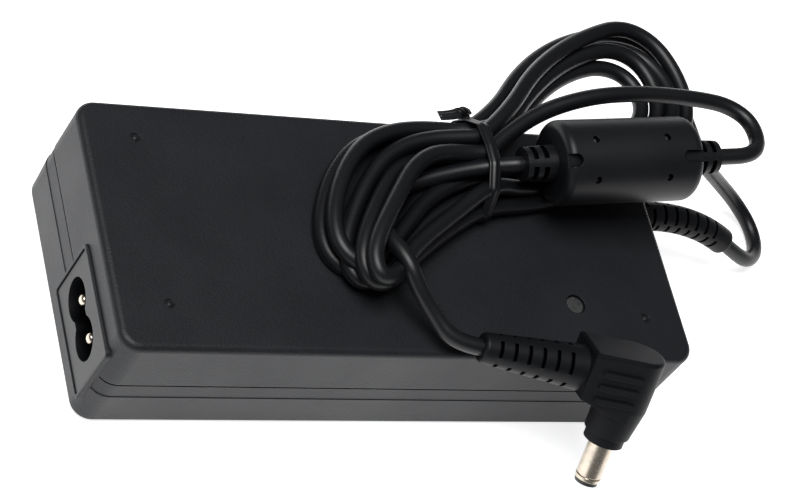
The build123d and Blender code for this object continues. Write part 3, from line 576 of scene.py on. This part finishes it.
# ---- the twist tie ----------------------------------------------------------------------
TIE_HALF, TIE_SKIN = 1.4, 0.22     # half width and half thickness
TIE_RIDGE, RIDGE_FOOT = 0.5, 0.8   # the wire's bulge and its half width
TIE_CLEAR = 0.35             # from the strands to the middle of the tie
# the ends leave the loop at its back, twisted together, and fold flat along the strands
TIE_TWIST = [(20.6, 25.4, 34.4), (21.0, 26.8, 34.6), (20.8, 27.6, 34.9), (19.8, 27.6, 35.3)]
TIE_TAIL = [(18.6, 27.0, 35.4), (17.2, 26.6, 35.3), (15.6, 26.4, 35.1), (13.6, 26.3, 34.9)]
TWIST_TURNS = 1.5
TWIST_RADIUS = 0.35          # from the twist's middle to the middle of each end
HIGHEST_STRAND = 45          # the loop goes round the strands under this height
RING_POINTS = 96
RING_GAP = 0.1               # between the loop's ridge and the case's top
RING_SHIFT, RING_LEAN, RING_MIDDLE_Z = 0.7, 0.06, 35.0     # it stands to -X and leans to +X


def ribbon_profile():
    """The tie's section as (across, out) points: two flat wings and the wire's ridge."""
    ridge = [(TIE_RIDGE * 1.3 * cos(a), TIE_RIDGE * sin(a))
             for a in [radians(d) for d in (25, 58, 90, 122, 155)]]
    outer = [(TIE_HALF, -TIE_SKIN * 0.4), (TIE_HALF, TIE_SKIN * 0.6), (TIE_HALF * 0.8, TIE_SKIN)]
    outer += [(RIDGE_FOOT, TIE_SKIN)] + ridge
    outer += [(-RIDGE_FOOT, TIE_SKIN), (-TIE_HALF * 0.8, TIE_SKIN)]
    outer += [(-TIE_HALF, TIE_SKIN * 0.6), (-TIE_HALF, -TIE_SKIN * 0.4)]
    return outer + [(-TIE_HALF * 0.8, -TIE_SKIN), (0.0, -TIE_SKIN), (TIE_HALF * 0.8, -TIE_SKIN)]


def swept(centres, across, out, closed=False):
    """The ribbon's section carried along its centres, with its own two directions at each,
    as vertices and faces."""
    section = ribbon_profile()
    count, size = len(centres), len(section)
    verts = [centres[i] + across[i] * a + out[i] * b for i in range(count) for a, b in section]
    faces = []
    for i in range(count if closed else count - 1):
        j = (i + 1) % count
        for k in range(size):
            m = (k + 1) % size
            faces.append((i * size + k, i * size + m, j * size + m, j * size + k))
    if not closed:
        faces += [tuple(range(size))[::-1], tuple(range((count - 1) * size, count * size))]
    return verts, faces


def one_mesh(name, strips, material):
    """Several strips as one smooth-shaded object."""
    verts, faces = [], []
    for strip_verts, strip_faces in strips:
        start = len(verts)
        verts += [tuple(v * MM) for v in strip_verts]
        faces += [tuple(start + i for i in face) for face in strip_faces]
    mesh = bpy.data.meshes.new(name)
    mesh.from_pydata(verts, [], faces)
    mesh.validate()
    mesh.materials.append(material)
    for face in mesh.polygons:
        face.use_smooth = True
    piece = bpy.data.objects.new(name, mesh)
    bpy.context.scene.collection.objects.link(piece)
    return piece


def twisted_end(path, turns, phase):
    """One end of the tie: its ribbon turns about the path for the twisted stretch, and
    then lies flat."""
    points = np.array(path)
    line = spline_weights(len(points), 10) @ points
    step = np.linalg.norm(np.diff(line, axis=0), axis=1)
    run = np.concatenate([[0.0], np.cumsum(step)])
    twist = np.interp(run, [0.0, run[-1] * len(TIE_TWIST) / len(path)], [turns, 0.0])
    centres, across, out = [], [], []
    for i, point in enumerate(line):
        ahead = line[min(i + 1, len(line) - 1)] - line[max(i - 1, 0)]
        along = Vector(ahead).normalized()
        side = along.cross(Vector((0.1, 0.25, 1.0))).normalized()
        up = side.cross(along)
        angle = 2 * pi * twist[i] + phase
        across.append(side * cos(angle) + up * sin(angle))
        out.append(up * cos(angle) - side * sin(angle))
        centres.append(Vector(point) + out[-1] * TWIST_RADIUS)
    return swept(centres, across, out)


def strand_sections(points):
    """Where the strands go through the tie's plane, as (y, z)."""
    line = spline_weights(len(points)) @ points
    found = []
    for a, b in zip(line, line[1:]):
        if (a[0] - TIE_X) * (b[0] - TIE_X) < 0 and CASE_TOP < a[2] < HIGHEST_STRAND:
            share = (TIE_X - a[0]) / (b[0] - a[0])
            found.append(a[1:] + (b[1:] - a[1:]) * share)
    return np.array(found)


def make_tie(points):
    """A loop drawn tight round the strands, and its two ends: one stops after the twist,
    the other goes on as the flat tail."""
    sections = strand_sections(points)
    ring, across, out = [], [], []
    for i in range(RING_POINTS):
        angle = 2 * pi * i / RING_POINTS
        way = np.array([cos(angle), sin(angle)])
        furthest = sections[(sections @ way).argmax()]
        y, z = furthest + way * (CORD_D / 2 + TIE_CLEAR)
        z = max(z, CASE_TOP + TIE_RIDGE + RING_GAP)
        lean = RING_LEAN * (z - RING_MIDDLE_Z)
        ring.append(Vector((TIE_X - RING_SHIFT + lean, y, z)))
        across.append(Vector((1.0, 0.0, 0.0)))
        out.append(Vector((0.0, *way)))
    loop = swept(ring, across, out, closed=True)
    tail = twisted_end(TIE_TWIST + TIE_TAIL, TWIST_TURNS, 0.0)
    short = twisted_end(TIE_TWIST + TIE_TAIL[:1], TWIST_TURNS, pi)
    return one_mesh("tie_ribbon", [loop, tail, short], materials["tie"])


# ---- scene ------------------------------------------------------------------------------
cord, route = make_cord()
tie = make_tie(route)
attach(cord, "root")
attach(tie, "root")
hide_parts("cord_lead_in", "cord_hank", "cord_through_ferrite", "cord_to_plug")
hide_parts("twist_tie")


FLOOR_HALF, FLOOR_DROP = 2.5, 0.0002     # metres: half its side, and how far under the part


def add_floor():
    mesh = bpy.data.meshes.new("floor")
    half = FLOOR_HALF
    mesh.from_pydata([(-half, -half, 0), (half, -half, 0), (half, half, 0), (-half, half, 0)],
                     [], [(0, 1, 2, 3)])
    mesh.materials.append(pale_floor())
    floor = bpy.data.objects.new("floor", mesh)
    floor.location.z = -FLOOR_DROP
    bpy.context.scene.collection.objects.link(floor)


def add_light(name, place, aim, size, power):
    data = bpy.data.lights.new(name, "AREA")
    data.shape, data.size, data.energy = "SQUARE", size, power
    light = bpy.data.objects.new(name, data)
    light.location = place
    light.rotation_euler = (Vector(aim) - Vector(place)).to_track_quat("-Z", "Y").to_euler()
    bpy.context.scene.collection.objects.link(light)


CAMERA_ROLL = 40.03          # degrees


def add_camera():
    """The photograph's viewpoint, whose camera was rolled."""
    data = bpy.data.cameras.new("camera")
    data.lens, data.sensor_width, data.clip_start = 111.17, 36.0, 0.01
    camera = bpy.data.objects.new("camera", data)
    camera.location = (-0.24507, -0.23938, 0.40218)
    view = Vector((0.485275, 0.467619, -0.738811))
    turn = view.to_track_quat("-Z", "Y").to_matrix().to_4x4()
    camera.matrix_world = (Matrix.Translation(camera.location) @ turn
                           @ Matrix.Rotation(radians(CAMERA_ROLL), 4, "Z"))
    bpy.context.scene.collection.objects.link(camera)
    bpy.context.scene.camera = camera


add_floor()
add_light("key", (-0.30, -0.02, 0.95), (0.02, 0.0, 0.02), 0.6, 13.0)
add_camera()
world = bpy.data.worlds.new("studio")
world.use_nodes = True
world.node_tree.nodes["Background"].inputs["Color"].default_value = (0.9, 0.92, 0.95, 1)
world.node_tree.nodes["Background"].inputs["Strength"].default_value = 0.15
bpy.context.scene.world = world
bpy.context.scene.view_settings.view_transform = "Standard"
